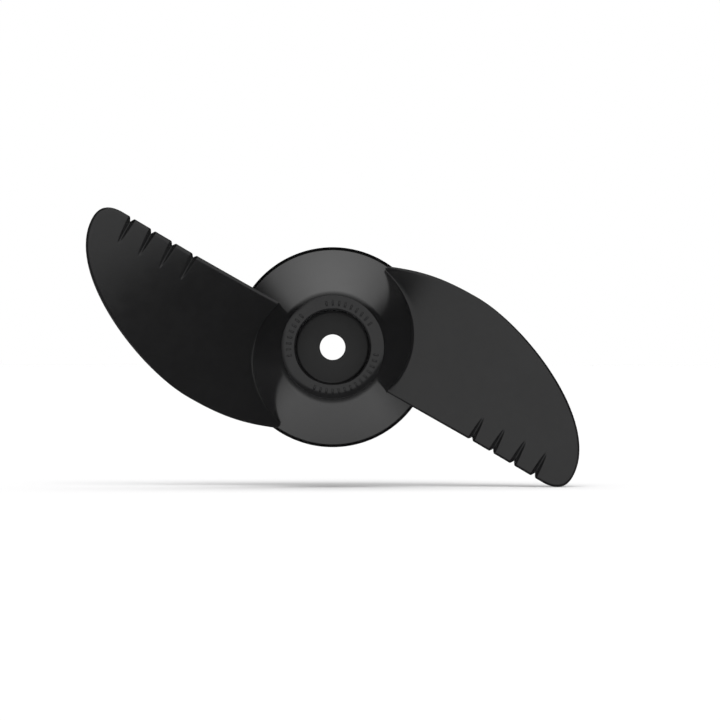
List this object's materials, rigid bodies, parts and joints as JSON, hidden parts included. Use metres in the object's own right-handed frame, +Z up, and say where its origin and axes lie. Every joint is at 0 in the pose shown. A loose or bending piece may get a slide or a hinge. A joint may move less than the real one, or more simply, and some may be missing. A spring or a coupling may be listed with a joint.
{
  "type": "trolling motor propeller",
  "caption": "Moulded plastic boat propeller with helical blades, grooved trailing edges and a hollow bell-shaped hub on a keyed shaft bore.",
  "frame": {"origin": "on the shaft axis in the plane of the drive face, the motor end of the boss", "axes": "+Y along the shaft towards the motor, -Y towards the nut side, +Z up as pictured, +X towards the blade whose tip points down"},
  "size_m": [0.2462, 0.056, 0.1394],
  "materials": {
    "black_nylon": "black glass-filled nylon, fine satin moulded skin"
  },
  "bodies": {
    "root": {"propeller": "black_nylon"}
  },
  "joints": []
}
